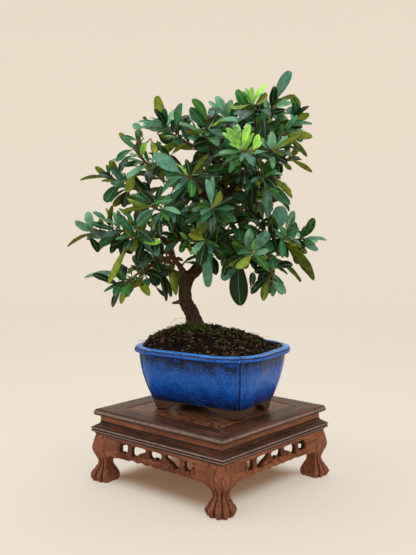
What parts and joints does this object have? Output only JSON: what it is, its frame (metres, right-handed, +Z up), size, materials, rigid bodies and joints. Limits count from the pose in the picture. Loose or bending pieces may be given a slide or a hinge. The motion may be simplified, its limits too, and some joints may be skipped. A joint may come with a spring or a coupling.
{
  "type": "scarlet firethorn bonsai",
  "caption": "Evergreen shrub trained as a small tree, with a bent trunk and leafy sprays, in a glazed pot on a square carved wooden stand.",
  "frame": {"origin": "middle of the bounding box in plan, on the surface that the feet stand on", "axes": "+Z up; the sides of the stand lie along X and Y, and the front of the tree faces the corner of the stand towards +X and -Y"},
  "size_m": [0.2422, 0.2562, 0.4895],
  "materials": {
    "stand_wood": "reddish brown carved hardwood, waxed, with a soft gloss on the mouldings",
    "panel_wood": "figured brown hardwood panel, satin",
    "pot_glaze": "mottled cobalt blue glaze, bare grey-brown clay feet and rim line",
    "soil": "dark crumbly soil with some moss round the trunk",
    "bark": "rough grey-brown bark",
    "drain_mesh": "black plastic mesh",
    "foliage": "leathery evergreen leaf, dark blue-green and glossy above, olive below",
    "young_foliage": "young bright green leaf, satin"
  },
  "bodies": {
    "root": {"top_rail_front": "stand_wood", "top_rail_right": "stand_wood", "top_rail_back": "stand_wood", "top_rail_left": "stand_wood", "waist_board_front": "stand_wood", "waist_board_right": "stand_wood", "waist_board_back": "stand_wood", "waist_board_left": "stand_wood", "moulding_front": "stand_wood", "moulding_right": "stand_wood", "moulding_back": "stand_wood", "moulding_left": "stand_wood", "apron_front": "stand_wood", "apron_right": "stand_wood", "apron_back": "stand_wood", "apron_left": "stand_wood", "leg_front": "stand_wood", "leg_right": "stand_wood", "leg_back": "stand_wood", "leg_left": "stand_wood", "top_panel": "panel_wood", "pot": "pot_glaze", "drain_mesh_left": "drain_mesh", "drain_mesh_right": "drain_mesh", "soil": "soil", "trunk_and_limbs": "bark", "spray_top_left_tip": "foliage", "spray_left_top": "foliage", "spray_left_high": "foliage", "spray_left_end": "foliage", "spray_left_low": "foliage", "spray_left_lower": "foliage", "spray_knob_tuft": "foliage", "spray_low_back": "foliage", "spray_front_left": "foliage", "spray_mid_left_front": "foliage", "spray_centre_front": "foliage", "spray_lower_centre": "foliage", "spray_front_low": "foliage", "spray_front_low_right": "foliage", "spray_right_low": "foliage", "spray_right_end": "foliage", "spray_right_mid": "foliage", "spray_big_left_blade": "foliage", "spray_right_twig": "foliage", "spray_young_front": "young_foliage", "spray_right_inner": "foliage", "spray_right_top": "foliage", "spray_right_upper": "foliage", "spray_top_tip": "foliage", "spray_top_left_2": "foliage", "spray_top_mid": "foliage", "spray_top_mid_left": "foliage", "spray_back_left": "foliage", "spray_back_right": "foliage", "spray_back_up": "foliage", "spray_back_top": "foliage", "spray_back_mid": "foliage", "spray_back_low": "foliage", "spray_back_left_high": "foliage"}
  },
  "joints": []
}
